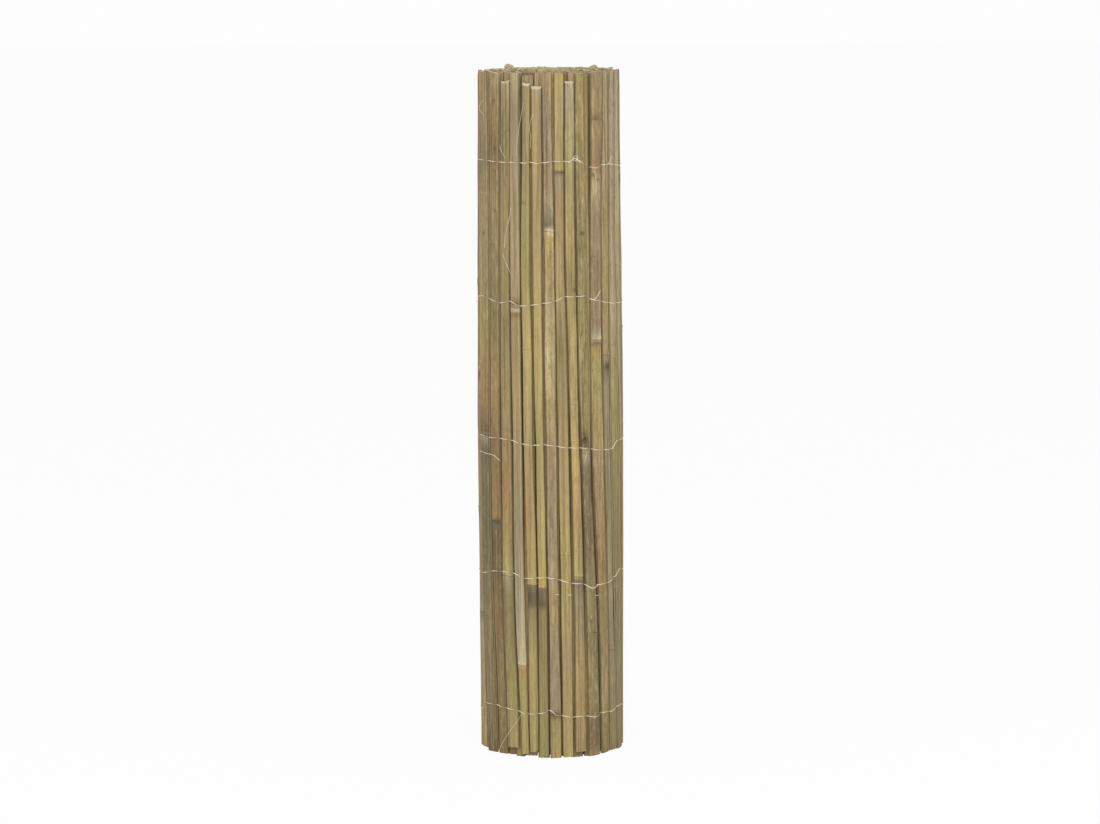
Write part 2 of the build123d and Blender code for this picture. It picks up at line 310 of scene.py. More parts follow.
def findAxis():
    # where the roll's axis stands, read from the first solid slat
    slat = outerTurn[0]
    half = slat["width"] / 2
    points = []
    for height in (slat["foot"], roll["slatLength"] / 2, slat["top"]):
        for along, out in ((-half, 0), (half, 0), (half, roll["edgeThickness"]),
                           (half / 2, roll["thickness"]), (-half / 2, roll["thickness"]),
                           (-half, roll["edgeThickness"])):
            points.append(onSlat(slat["angle"], slat["radius"] + bulge(height), along, out))
    low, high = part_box(slat["name"])
    middle = (low + high) / 2
    xs = [point[0] for point in points]
    ys = [point[1] for point in points]
    return (middle.x - (min(xs) + max(xs)) / 2 * mm, middle.y - (min(ys) + max(ys)) / 2 * mm)


axisX, axisY = findAxis()
print("roll axis", round(axisX, 5), round(axisY, 5), "outer slats", len(outerTurn))


def toWorld(x, y, height):
    return Vector((x * mm + axisX, y * mm + axisY, height * mm))


def linear(name):
    tone = tones[name]
    return tuple(((c * cast / 255 + 0.055) / 1.055) ** 2.4 for c, cast in zip(tone, toneCast))


def toneAt(stops, share):
    return blendLine([stop[0] for stop in stops], [Vector(linear(stop[1])) for stop in stops], share)


# Shader building

class Signal:
    # wraps a value socket so that shader maths reads as arithmetic

    def __init__(self, tree, socket):
        self.tree = tree
        self.socket = socket

    def join(self, operation, other, swap=False):
        made = self.tree.nodes.new("ShaderNodeMath")
        made.operation = operation
        pair = (other, self) if swap else (self, other)
        for slot, value in zip(made.inputs, pair):
            if isinstance(value, Signal):
                self.tree.links.new(value.socket, slot)
            else:
                slot.default_value = value
        return Signal(self.tree, made.outputs[0])

    def __add__(self, other):
        return self.join("ADD", other)

    def __radd__(self, other):
        return self.join("ADD", other, swap=True)

    def __sub__(self, other):
        return self.join("SUBTRACT", other)

    def __rsub__(self, other):
        return self.join("SUBTRACT", other, swap=True)

    def __mul__(self, other):
        return self.join("MULTIPLY", other)

    def __rmul__(self, other):
        return self.join("MULTIPLY", other, swap=True)


class Finish:
    # one material with a Principled shader, and one way to add any node

    def __init__(self, name):
        self.material = bpy.data.materials.new(name)
        self.material.use_nodes = True
        self.tree = self.material.node_tree
        self.shader = self.tree.nodes["Principled BSDF"]

    def node(self, kind, settings=None, sockets=None, out=0):
        made = self.tree.nodes.new(kind)
        for key, value in (settings or {}).items():
            if key == "stops":
                self.setStops(made.color_ramp, value)
            else:
                setattr(made, key, value)
        self.feed(made, sockets or {})
        return Signal(self.tree, made.outputs[out])

    def setStops(self, ramp, stops):
        while len(ramp.elements) < len(stops):
            ramp.elements.new(0.5)
        for element, (at, level) in zip(ramp.elements, stops):
            element.position = at
            element.color = (level, level, level, 1)

    def feed(self, made, sockets):
        for key, value in sockets.items():
            if isinstance(value, Signal):
                self.tree.links.new(value.socket, made.inputs[key])
            else:
                made.inputs[key].default_value = value

    def attribute(self, name, out=2):
        return self.node("ShaderNodeAttribute", {"attribute_name": name}, out=out)

    def noise(self, scale, detail=3.0, roughness=0.55, distortion=0.0, offset=0.0):
        spot = self.node("ShaderNodeTexCoord", out=3)
        moved = self.node("ShaderNodeMapping", None, {
            "Vector": spot, "Scale": scale, "Location": (offset, offset * 0.7, offset * 1.3),
        })
        return self.node("ShaderNodeTexNoise", None,
                         {"Vector": moved, "Scale": 1.0, "Detail": detail, "Roughness": roughness,
                          "Distortion": distortion})

    def ramp(self, value, *stops):
        return self.node("ShaderNodeValToRGB", {"stops": stops}, {"Fac": value})

    def mix(self, factor, first, second):
        return self.node("ShaderNodeMix", {"data_type": "RGBA"}, {0: factor, 6: first, 7: second}, out=2)

    def tint(self, colour, strength):
        return self.node("ShaderNodeVectorMath", {"operation": "SCALE"}, {0: colour, "Scale": strength})

    def bump(self, height, distance):
        return self.node("ShaderNodeBump", None, {"Height": height, "Distance": distance, "Strength": 1.0})


def solid(name):
    return (*linear(name), 1)


# Each layer mixes in a tone where its noise passes from one level to the next. share is how much
# of the tone it gives there, and soiled how much of that it gives to stained slats only.
skinLook = dict(
    broad=((170, 170, 3), 3.0, 0.55, 0.0, 27.5), streak=((330, 330, 4), 4.0, 0.62),
    fibre=((900, 900, 10), 3.0, 0.65, 0.0, 3.1), crack=((430, 430, 4), 2.0, 0.5, 0.0, 21.0),
    broadShare=0.72, streakShare=1.12, fibreShare=0.50, grainMiddle=1.17, grainBase=0.85,
    # The edge settings: the band on the shoulders is a painted highlight, and the darkening of the edges is
    # painted shade of the gaps between slats, with a share that grows with the stain as dirt.
    grainStained=0.75, bright=1.02, crackFrom=0.57, crackTo=0.64, crackDark=0.26, edgeDark=0.50,
    shoulderHighlight=0.08, edgeShadeAndDirt=((0.84, 0.0), (1.0, 1.0)), shoulder=((0.62, 0.0), (0.78, 1.0), (0.90, 0.0)),
    edgeShadeAndDirtBase=0.6, edgeShadeAndDirtStained=1.1, ringWander=((260, 260, 260), 2.0, 0.55, 0.0, 4.4), relief=0.0005,
    specular=0.3,
    lip=((0.44, 1.0), (0.475, 0.84), (0.494, 0.60), (0.514, 1.12), (0.55, 1.07), (0.60, 1.0)),
    layers=dict(
        warm=dict(noise=((240, 240, 8), 4.0, 0.6, 0.3, 9.2), low=0.50, high=0.68, share=0.34, soiled=0.0,
                  tone="rust"),
        cool=dict(noise=((260, 260, 7), 4.0, 0.6, 0.3, 15.4), low=0.50, high=0.70, share=0.30, soiled=0.0,
                  tone="green"),
        cloud=dict(noise=((90, 90, 14), 5.0, 0.6, 0.0, 7.7), low=0.46, high=0.68, share=0.25, soiled=0.0,
                   tone="grey"),
        blot=dict(noise=((150, 150, 30), 5.0, 0.68, 0.8, 5.3), low=0.48, high=0.62, share=0.62, soiled=1.0,
                  tone="umber"),
        mottle=dict(noise=((240, 240, 70), 5.0, 0.7, 0.5, 12.6), low=0.50, high=0.62, share=0.50,
                    soiled=0.65, tone="umber"),
        speck=dict(noise=((620, 620, 240), 4.0, 0.7, 0.0, 1.9), low=0.57, high=0.66, share=0.55, soiled=0.7,
                   tone="soot"),
        flake=dict(noise=((230, 230, 60), 5.0, 0.7, 0.6, 17.7), low=0.54, high=0.64, share=0.38, soiled=1.0,
                   tone="cream"),
    ),
)


def layTones(finish, look, colour, stain):
    # the coloured layers on the plain tone, and the noises that they came from
    seen = {}
    for name, layer in look["layers"].items():
        seen[name] = finish.noise(*layer["noise"])
        shown = finish.ramp(seen[name], (layer["low"], 0.0), (layer["high"], 1.0))
        amount = shown * (1.0 - layer["soiled"] + layer["soiled"] * stain) * layer["share"]
        colour = finish.mix(amount, colour, solid(layer["tone"]))
    return colour, seen


def shadeDirtHighlightAndRings(finish, look, colour, streak, stain):
    # the skin is lighter on its shoulders beside its edges as painted highlight, and its edges are darkened
    # towards soot, partly as painted shade of the gaps and partly as dirt that grows with the stain. A
    # joint is a pale lip over a dark groove.
    side = finish.attribute("side") + 0.2 * streak - 0.1
    # painted highlight: the skin made lighter on its shoulders, in a band just inside each edge
    colour = finish.tint(colour, 1.0 + look["shoulderHighlight"] * finish.ramp(side, *look["shoulder"]))
    # painted shade and dirt: the edges mixed towards soot, a fixed share as painted shade of the gaps
    # beside them and a share that grows with the stain as dirt
    shadeAndDirt = look["edgeDark"] * finish.ramp(side, *look["edgeShadeAndDirt"])
    colour = finish.mix(shadeAndDirt * (look["edgeShadeAndDirtBase"] + look["edgeShadeAndDirtStained"] * stain), colour, solid("soot"))
    ring = finish.attribute("jointGap") + 0.04 * finish.noise(*look["ringWander"]) - 0.02
    return finish.tint(colour, finish.ramp(ring, *look["lip"]))


def makeSkin(look):
    finish = Finish("bambooSkin")
    stain = finish.attribute("stain")
    streak = finish.noise(*look["streak"])
    fibre = finish.noise(*look["fibre"])
    grain = look["broadShare"] * finish.noise(*look["broad"]) + look["streakShare"] * streak
    grain = grain + look["fibreShare"] * fibre - look["grainMiddle"]
    strength = look["bright"] + grain * (look["grainBase"] + look["grainStained"] * stain)
    plain = finish.tint(finish.attribute("tone", out=0), strength)
    colour, seen = layTones(finish, look, plain, stain)
    crack = finish.ramp(finish.noise(*look["crack"]), (look["crackFrom"], 0.0), (look["crackTo"], 1.0))
    colour = finish.tint(colour, 1.0 - look["crackDark"] * crack)
    grooves = 0.5 * streak + 0.4 * fibre + 0.3 * seen["speck"] * stain - 0.5 * crack
    finish.feed(finish.shader, {
        "Base Color": shadeDirtHighlightAndRings(finish, look, colour, streak, stain),
        "Roughness": 0.48 + 0.22 * seen["cloud"] + 0.16 * fibre,
        "Normal": finish.bump(grooves, look["relief"]),
        "Specular IOR Level": look["specular"],
    })
    return finish.material


splitLook = dict(streak=((700, 700, 10), 4.0, 0.65), edgeDark=0.3, tone=0.15, relief=0.0005, specular=0.25)


def makeSplit(look):
    finish = Finish("bambooSplitFace")
    streak = finish.noise(*look["streak"])
    blend = finish.ramp(streak, (0.35, 0.0), (0.70, 1.0))
    wood = finish.mix(blend, solid("pale"), solid("end"))
    wood = finish.mix(look["tone"], wood, finish.attribute("tone", out=0))
    # painted shade: the split face darkened along its edges, where it looks into the gaps between slats
    edge = finish.ramp(finish.attribute("side"), (0.94, 0.0), (0.98, 1.0))
    finish.feed(finish.shader, {
        "Base Color": finish.tint(wood, 1.0 - look["edgeDark"] * edge),
        "Roughness": 0.7 + 0.2 * streak,
        "Normal": finish.bump(streak, look["relief"]),
        "Specular IOR Level": look["specular"],
    })
    return finish.material


endLook = dict(
    pores=((1500, 1500, 300), 2.0, 0.5), cloud=((120, 120, 30), 3.0, 0.5, 0.0, 2.2), relief=0.0003,
    specular=0.2,
)


def makeEnd(look):
    finish = Finish("bambooCutEnd")
    pores = finish.noise(*look["pores"])
    cloud = finish.noise(*look["cloud"])
    dots = finish.ramp(pores, (0.36, 0.0), (0.5, 1.0))
    wood = finish.mix(dots, solid("pale"), solid("end"))
    finish.feed(finish.shader, {
        "Base Color": finish.tint(wood, 0.78 + 0.28 * cloud),
        "Roughness": 0.75 + 0.2 * pores,
        "Normal": finish.bump(pores, look["relief"]),
        "Specular IOR Level": look["specular"],
    })
    return finish.material


wireLook = dict(patch=((300, 300, 300), 3.0, 0.6), relief=0.0001)


def makeWire(look):
    # painted highlight: the wire is coloured pale where it crosses a gap and tan like the slats where it is
    # pressed on one, in patches
    finish = Finish("bindingWire")
    patch = finish.noise(*look["patch"])
    bare = finish.attribute("bare")
    finish.feed(finish.shader, {
        "Base Color": finish.mix(bare * (0.7 + 0.5 * patch), solid("tan"), solid("wire")),
        "Roughness": 0.35 + 0.3 * patch,
        "Normal": finish.bump(patch, look["relief"]),
    })
    return finish.material


fibreLook = dict(patch=((500, 500, 120), 3.0, 0.6))


def makeFibre(look):
    finish = Finish("dryFibre")
    patch = finish.noise(*look["patch"])
    finish.feed(finish.shader, {
        "Base Color": finish.mix(patch, solid("pale"), solid("wire")),
        "Roughness": 0.6 + 0.3 * patch,
    })
    return finish.material


skin = makeSkin(skinLook)
splitFace = makeSplit(splitLook)
cutEnd = makeEnd(endLook)
wireFinish = makeWire(wireLook)
fibreFinish = makeFibre(fibreLook)
print("finishes made")


def finishMesh(bm, name, materials, smooth=True):
    mesh = bpy.data.meshes.new(name)
    bm.to_mesh(mesh)
    bm.free()
    for material in materials:
        mesh.materials.append(material)
    if smooth:
        mesh.shade_smooth()
        mesh.set_sharp_from_angle(angle=math.radians(48))
    piece = bpy.data.objects.new(name, mesh)
    bpy.context.scene.collection.objects.link(piece)
    return piece


class SlatMesh:
    # a mesh of slats that carries the four attributes the skin reads

    def __init__(self):
        self.bm = bmesh.new()
        self.tone = self.bm.verts.layers.float_color.new("tone")
        self.stain = self.bm.verts.layers.float.new("stain")
        self.jointGap = self.bm.verts.layers.float.new("jointGap")
        self.side = self.bm.verts.layers.float.new("side")

    def grow(self, profile, heights):
        # extrudes a closed section upwards, one ring for each height, and returns its vertices
        # as (vertex, along, out, height) with the section's own coordinates in millimetres
        ring = [self.bm.verts.new((along * mm, out * mm, heights[0] * mm)) for along, out in profile]
        face = self.bm.faces.new(ring)
        face.material_index = 2
        grown = [(vert, *point, heights[0]) for vert, point in zip(ring, profile)]
        sides = []
        for low, high in zip(heights, heights[1:]):
            made = bmesh.ops.extrude_face_region(self.bm, geom=[face])["geom"]
            lifted = [part for part in made if isinstance(part, bmesh.types.BMVert)]
            face = next(part for part in made if isinstance(part, bmesh.types.BMFace))
            bmesh.ops.translate(self.bm, verts=lifted, vec=(0, 0, (high - low) * mm))
            grown += [(vert, vert.co.x / mm, vert.co.y / mm, high) for vert in lifted]
            sides += [part for edge in face.edges for part in edge.link_faces if part is not face]
        for part in sides:
            part.material_index = 0 if part.calc_center_median().y > self.skinFrom * mm else 1
        return grown

    def dress(self, vert, tone, stain, jointGap, side):
        vert[self.tone] = (*tone, 1)
        vert[self.stain] = stain
        vert[self.jointGap] = jointGap
        vert[self.side] = side


# Slats of the outer turn

def slatProfile():
    # the section, across as shares of half the width: a slightly hollow split face, two rough
    # edges and a domed skin
    edge = roll["edgeThickness"]
    dome = roll["thickness"] - edge
    return [
        (-0.95, 0.0), (-0.4, slatShape["hollow"]), (0.4, slatShape["hollow"]), (0.95, 0.0),
        (1.0, 0.6), (1.0, edge - 0.9), (0.95, edge - 0.1), (0.80, edge + dome * 0.45),
        (0.52, edge + dome * 0.85), (0.18, edge + dome), (-0.18, edge + dome),
        (-0.52, edge + dome * 0.85), (-0.80, edge + dome * 0.45), (-0.95, edge - 0.1),
        (-1.0, edge - 0.9), (-1.0, 0.6),
    ]


def ringHeights(foot, top, joints, spacing, knots=()):
    count = max(int((top - foot) / spacing), 2)
    heights = {round(foot + (top - foot) * n / count, 2) for n in range(count + 1)}
    heights |= {knot[0] + step for knot in knots for step in (-4, -2, 0, 2, 4)}
    for joint in joints:
        near = [joint + step for step in slatShape["jointRings"]]
        heights = {h for h in heights if abs(h - joint) > slatShape["jointClear"] or h in (foot, top)}
        heights |= {h for h in near if foot + 1 < h < top - 1}
    return sorted(heights)


jointForm = dict(reach=9, sheath=0.6, sheathAt=-3, sheathWide=2.2, groove=-0.3, grooveFrom=-1,
                 grooveTo=0.4, lipAt=1.6, lipWide=2.4)


def jointSwell(gap):
    # how full the ring at a joint stands, for a distance above it: sheath scar, groove and lip
    if abs(gap) > jointForm["reach"]:
        return 0.0
    if gap < jointForm["grooveFrom"]:
        away = (gap - jointForm["sheathAt"]) / jointForm["sheathWide"]
        return jointForm["sheath"] * math.exp(-away ** 2)
    if gap < jointForm["grooveTo"]:
        return jointForm["groove"]
    return math.exp(-((gap - jointForm["lipAt"]) / jointForm["lipWide"]) ** 2)


def raggedEnd(slat, seed, across, along, out, height):
    # where a point at either end comes to stand, as the saw left the ends uneven
    if height >= slat["top"] - 0.01:
        height -= abs(wave(seed, along / slatShape["tipRag"], 20)) * slatShape["endRag"]
        height += slat["topSlope"] * across - slatShape["endDrop"]
        height -= slat["cut"] * out / roll["thickness"] + slat["shoulder"] * across ** 2
    if height <= slat["foot"] + 0.01:
        height += abs(wave(seed, along / slatShape["footTipRag"], 30)) * slatShape["footRag"]
        height += slat["footSlope"] * (1 + across)
    return height


def shapeVertex(slat, across, out, height):
    # moves a point of the plain section to its place on the real, uneven slat
    seed = slat["number"] * slatShape["seedStep"]
    middle, half = edgesAt(slat, height)
    side = 1 if across > 0 else -1
    wander = wave(seed + side * 5, height / slatShape["slowWave"], 0) * slatShape["slowWander"] * 2
    wander += wave(seed + side * 9, height / slatShape["quickWave"], 3) * slatShape["quickWander"] * 2
    along = across * half + wander * abs(across)
    if out > 1:
        out *= 1 - abs(wave(seed, height / slatShape["thinWave"], 7)) * slatShape["thinning"] * 2
    nearest = slatShape["jointFar"]
    for joint in slat["jointHeights"]:
        gap = height - joint + across * slatShape["jointSlant"]
        gap += wave(seed, along / 3, joint) * slatShape["jointRag"]
        if out > 1:
            out += jointSwell(gap) * roll["jointRise"]
        along += jointSwell(gap) * slatShape["jointSpread"] * across
        if joint not in slat["quietHeights"] and abs(gap) < abs(nearest):
            nearest = gap
    out += along * math.tan(math.radians(slat["lean"]))
    out += wave(seed, height / slatShape["swayWave"], 11) * slatShape["sway"]
    out = min(out, roll["thickness"] + roll["jointRise"])
    height = raggedEnd(slat, seed, across, along, out, height)
    x, y = onSlat(middle, slat["radius"] + softBulge(height), along, out)
    return toWorld(x, y, min(max(height, 0), roll["topLimit"])), nearest


def knotDark(slat, across, height):
    # how dark the skin is from the knots near a point
    dark = 0.0
    for level, place, size in slat["knots"]:
        away = math.hypot((across - place) * slat["width"] / 2, height - level)
        dark = max(dark, slatShape["knotShare"] * math.exp(-(away / size) ** 2))
    return dark


def makeOuterSlat(slat):
    slat["topSlope"] = draw.uniform(-1, 1) * slatShape["endSlope"]
    slat["footSlope"] = draw.uniform(0, 0.5) * slatShape["endSlope"]
    heights = ringHeights(
        slat["foot"], slat["top"], slat["jointHeights"], slatShape["ringSpacing"], slat["knots"])
    mesh = SlatMesh()
    mesh.skinFrom = slatShape["skinFrom"]
    for vert, across, out, height in mesh.grow(slatProfile(), heights):
        vert.co, nearest = shapeVertex(slat, across, out, height)
        tone = toneAt(slat["tones"], height / roll["slatLength"]) * (1 - knotDark(slat, across, height))
        reach = slatShape["jointReach"]
        jointGap = 0.5 + max(min(nearest, reach), -reach) / reach / 2
        mesh.dress(vert, tone, slat["stain"], jointGap, abs(across))
    bmesh.ops.recalc_face_normals(mesh.bm, faces=mesh.bm.faces)
    return finishMesh(mesh.bm, slat["name"] + "_skin", (skin, splitFace, cutEnd))


for slat in outerTurn:
    piece = makeOuterSlat(slat)
    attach(piece, "root")
    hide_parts(slat["name"])
print("outer slats made")


# Slats of the inner turns, in one piece

# shade and tint are painted shade: they darken and warm every tone of the inner turns, which lie inside the
# roll
innerShape = dict(
    widths=(10.5, 19.0), gaps=(1.0, 2.6), shortMost=7.0, spacing=165.0, footMost=6.0, least=33.0,
    crown=4.5, edge=3.5, skinFrom=2.0, sink=0.4, lean=4.0, backShare=0.15, shade=0.95,
    tint=(1.0, 0.96, 0.86), footChance=0.6, topDrop=0.5, stain=0.4, toneStops=(0, 0.35, 0.7, 1),
)


def innerProfile(half):
    edge = innerShape["edge"]
    crown = innerShape["crown"]
    return [(-half, 0.2), (0.0, 0.5), (half, 0.2), (half, edge), (half * 0.55, crown),
            (-half * 0.55, crown), (-half, edge)]


def drawInnerSlat(travel):
    # the random numbers of one slat, and where they put it
    slat = dict(width=draw.uniform(*innerShape["widths"]), gap=draw.uniform(*innerShape["gaps"]))
    middle = travel + math.atan(slat["width"] / 2 / spiralRadius(travel))
    angle = math.radians(roll["freeEdgeAngle"]) - middle
    foot = draw.uniform(0, innerShape["footMost"]) * (draw.random() < innerShape["footChance"])
    shortMost = innerShape["shortMost"] * (innerShape["backShare"] if math.cos(angle) < -0.2 else 1)
    slat.update(
        middle=middle, angle=angle, radius=spiralRadius(middle) - innerShape["sink"], foot=foot,
        top=roll["slatLength"] - draw.uniform(0, 1) ** 2 * shortMost - innerShape["topDrop"],
        tones=tuple((at, draw.choice(backTones)) for at in innerShape["toneStops"]),
        slope=draw.uniform(-1, 1),
        lean=math.tan(math.radians(draw.uniform(-1, 1) * innerShape["lean"])),
    )
    return slat


def growInnerSlat(mesh, slat):
    swell = 1 - (edgeRadius - slat["radius"]) / edgeRadius
    # painted shade of the inner turns, multiplied into their tones
    tint = innerShape["shade"] * Vector(innerShape["tint"])
    heights = ringHeights(slat["foot"], slat["top"], (), innerShape["spacing"])
    for vert, along, out, height in mesh.grow(innerProfile(slat["width"] / 2), heights):
        across = along / slat["width"] * 2
        level = height + slat["slope"] * across if height >= slat["top"] - 0.01 else height
        x, y = onSlat(slat["angle"], slat["radius"] + softBulge(height) * swell, along,
                      out + along * slat["lean"])
        vert.co = toWorld(x, y, min(level, roll["topLimit"]))
        tone = toneAt(slat["tones"], height / roll["slatLength"]) * tint
        mesh.dress(vert, tone, innerShape["stain"], 0.0, abs(across))


def makeInnerTurns():
    mesh = SlatMesh()
    mesh.skinFrom = innerShape["skinFrom"]
    travel = outerTravel
    used = sum(slat["width"] + slat["gap"] for slat in outerTurn)
    count = 0
    while used < roll["matLength"] and spiralRadius(travel) > innerShape["least"]:
        slat = drawInnerSlat(travel)
        growInnerSlat(mesh, slat)
        half = math.atan(slat["width"] / 2 / spiralRadius(slat["middle"]))
        travel = slat["middle"] + half + slat["gap"] / spiralRadius(travel)
        used += slat["width"] + slat["gap"]
        count += 1
    bmesh.ops.recalc_face_normals(mesh.bm, faces=mesh.bm.faces)
    print("inner slats", count)
    return finishMesh(mesh.bm, "innerTurns", (skin, splitFace, cutEnd))


inner = makeInnerTurns()
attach(inner, "root")
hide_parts("inner_turns")


# Binding wire: two strands a row, one over and one under each slat, crossing in the gaps.
# crossings gives the place across the slat as a share of half its width, how far the strand is
# pressed into the skin there, and how much painted highlight its colour has there.
wireShape = dict(
    radius=0.45, looseRadius=0.36, fibreRadius=0.32, clear=0.08, bevel=1, curveSteps=4,
    wander=0.35, backWander=2.2, crossing=0.5, gapOut=2.2, ringSink=0.6,
    crossings=((1.0, 0.3, 1.0), (0.62, 0.1, 0.75), (0.0, 0.45, 0.1), (-0.62, 0.5, 0.05),
               (-1.0, 0.3, 0.85)),
)

# Where each row rises and sags across the front, as degrees from the front and millimetres
rowLines = [
    ((-75, 6.5), (-65, 12), (-50, 12.8), (-39, 11.5), (-30, 9.5), (-22, 5.5), (-13, 6.5), (-8, 7.8),
     (-2, 12.5), (2, 5), (7, 4), (15, 0.5), (20, 2.4), (27, 1.5), (34, -1.5), (40, 1.5), (47, 2),
     (56, 0), (62, 4), (73, 6), (90, 0)),
    ((-80, 0), (-66, 4), (-52, 10.5), (-39, 11), (-29, 9), (-23, 3.5), (-6, 5.5), (3, 4), (7, 1),
     (15, -3.5), (24, -4), (30, -11.5), (41, -10), (52, -9), (59, -3.5), (70, 7), (90, 2)),
    ((-80, 4), (-68, 4.5), (-58, 3), (-46, 4.6), (-33, 2.7), (-24, -1.5), (-15, -3), (-7, -1.8),
     (2, -3.5), (12, -6.5), (28, -8.5), (37, -12.5), (49, -15), (56, -15.5), (64, -4.5), (80, -5),
     (90, -2)),
    ((-80, 3.5), (-67, 6.7), (-56, 4), (-43, -1), (-33, 3), (-25, -3), (-17, -2.5), (-6, 0.5), (2, 2.8),
     (10, 10.8), (18, 10.4), (28, 10.7), (32, 5.5), (38, 2.7), (49, -1.7), (61, -5), (80, -6), (90, -5)),
    ((-80, 2), (-62, 1.8), (-32, 1), (-21, 0.2), (-14, 1.6), (-10, 0.1), (1, 3.1), (10, 2.9), (15, 2),
     (20, 7), (26, -0.6), (30, -4.7), (40, -9), (49, -4.3), (58, -4.4), (80, -9), (90, -6)),
]


def rowHeight(row, angle):
    # the height of a wire row where it passes an angle; the back only wanders
    turn = (math.degrees(angle) + 180) % 360 - 180
    line = rowLines[row]
    if line[0][0] < turn < line[-1][0]:
        lift = blendLine([stop[0] for stop in line], [stop[1] for stop in line], turn)
    else:
        lift = blendLine((90, 180), (line[-1][1], 0), abs(turn))
    wander = wireShape["wander"] + wireShape["backWander"] * max(-math.cos(angle), 0)
    drift = wave(math.sin(angle) * 4, math.cos(angle) * 4, row * 5.5) * wander * 2
    return rowHeights[row] + lift + drift


def skinOut(slat, across, height):
    # how far the slat's skin stands out across its width at a height
    dome = roll["thickness"] - roll["edgeThickness"]
    out = roll["edgeThickness"] + dome * (1 - abs(across) ** 3)
    half = edgesAt(slat, height)[1]
    return out + across * half * math.tan(math.radians(slat["lean"]))


def strandPath(row, outsideFirst):
    points = []
    bare = []
    outside = outsideFirst
    reach = wireShape["radius"] + wireShape["clear"]
    turn = wireShape["crossing"] if outsideFirst else -wireShape["crossing"]
    for slat in outerTurn:
        for across, sunk, shine in wireShape["crossings"]:
            middle, half = edgesAt(slat, rowHeight(row, slat["angle"]))
            angle = middle + math.atan(across * half / (slat["radius"] + slatShape["skinMiddle"]))
            height = rowHeight(row, angle) + (turn * 0.5 if abs(across) > 0.9 else 0)
            out = skinOut(slat, across, height) + reach - sunk if outside else -reach
            x, y = onSlat(middle, slat["radius"] + softBulge(height), across * half, out)
            points.append(toWorld(x, y, height))
            bare.append(shine)
        # the crossing in the gap after the slat
        share = rowHeights[row] / roll["slatLength"]
        gapAngle = math.radians(blendSoft(driftHeights, slat["left"], share))
        gapAngle -= slat["opening"][2] / 2 / slat["radius"]
        height = rowHeight(row, gapAngle) + turn
        x, y = onSlat(gapAngle, slat["radius"] + softBulge(height), 0, wireShape["gapOut"])
        points.append(toWorld(x, y, height))
        bare.append(1.0)
        outside = not outside
        turn = -turn
    return points, bare


def sweepRound(name, points, radius, smooth):
    # a round tube along the points, as a mesh
    curve = bpy.data.curves.new(name, "CURVE")
    curve.dimensions = "3D"
    curve.bevel_depth = radius * mm
    curve.bevel_resolution = wireShape["bevel"]
    curve.resolution_u = wireShape["curveSteps"]
    curve.use_fill_caps = True
    spline = curve.splines.new("NURBS" if smooth else "POLY")
    spline.points.add(len(points) - 1)
    for spot, point in zip(spline.points, points):
        spot.co = (*point, 1)
    if smooth:
        spline.order_u = min(3, len(points))
        spline.use_endpoint_u = True
    holder = bpy.data.objects.new(name + "Line", curve)
    bpy.context.scene.collection.objects.link(holder)
    bpy.context.view_layer.update()
    mesh = bpy.data.meshes.new_from_object(holder.evaluated_get(bpy.context.evaluated_depsgraph_get()))
    bpy.data.objects.remove(holder)
    bpy.data.curves.remove(curve)
    mesh.name = name
    return mesh


def makeTube(name, points, radius, material, smooth=False, bare=None):
    mesh = sweepRound(name, points, radius, smooth)
    mesh.materials.clear()
    mesh.materials.append(material)
    mesh.shade_smooth()
    # the attribute of how much painted highlight the wire's colour has, for each ring of the tube
    shine = mesh.attributes.new("bare", "FLOAT", "POINT")
    ringSize = len(mesh.vertices) // len(points)
    for number, spot in enumerate(shine.data):
        spot.value = bare[min(number // ringSize, len(bare) - 1)] if bare else 1.0
    piece = bpy.data.objects.new(name, mesh)
    bpy.context.scene.collection.objects.link(piece)
    return piece


for row in range(len(rowHeights)):
    for word, outsideFirst in (("upper", True), ("lower", False)):
        path, bare = strandPath(row, outsideFirst)
        strand = makeTube(f"wire_{row + 1}_{word}_round", path, wireShape["radius"], wireFinish, bare=bare)
        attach(strand, "root")
        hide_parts(f"wire_{row + 1}_{word}_strand")
print("wires made")


# Loose ends of wire and fibres that hang off the skin: degrees from the front, height and how
# far out from the inner face of the outer turn
looseWires = dict(
    topLoop=((14, 864.5, 5.4), (16, 866, 6), (17.4, 870, 6.6), (19, 874, 6.8), (21, 873.5, 6.8),
             (21.6, 869, 6.6), (19.6, 866, 6.2), (17.8, 867.5, 6.2), (18.6, 871, 6.4), (22, 867, 6),
             (24, 863, 5.4)),
    topFork=((50, 859, 5), (52, 861, 5.6), (54, 867, 6), (54.6, 872, 6)),
    hook=((31, 668, 5), (34, 666, 6), (37, 670, 6.6), (40, 679, 7)),
    middleStray=((-72, 441, 5), (-66, 442, 5.8), (-58, 440.5, 6), (-50, 440.5, 6), (-46, 437, 5.6),
                 (-43, 433, 5)),
    firstDash=((2.4, 241.6, 5), (4.8, 241.2, 5.2)),
    nextDash=((11.8, 240.2, 5), (14.6, 240.0, 5.2)),
    lastDash=((34.2, 236.6, 5), (37.4, 236.2, 5.2)),
    lowStray=((29, 249, 5), (31, 247, 6), (34, 248, 6.2), (37, 252, 5.4)),
)
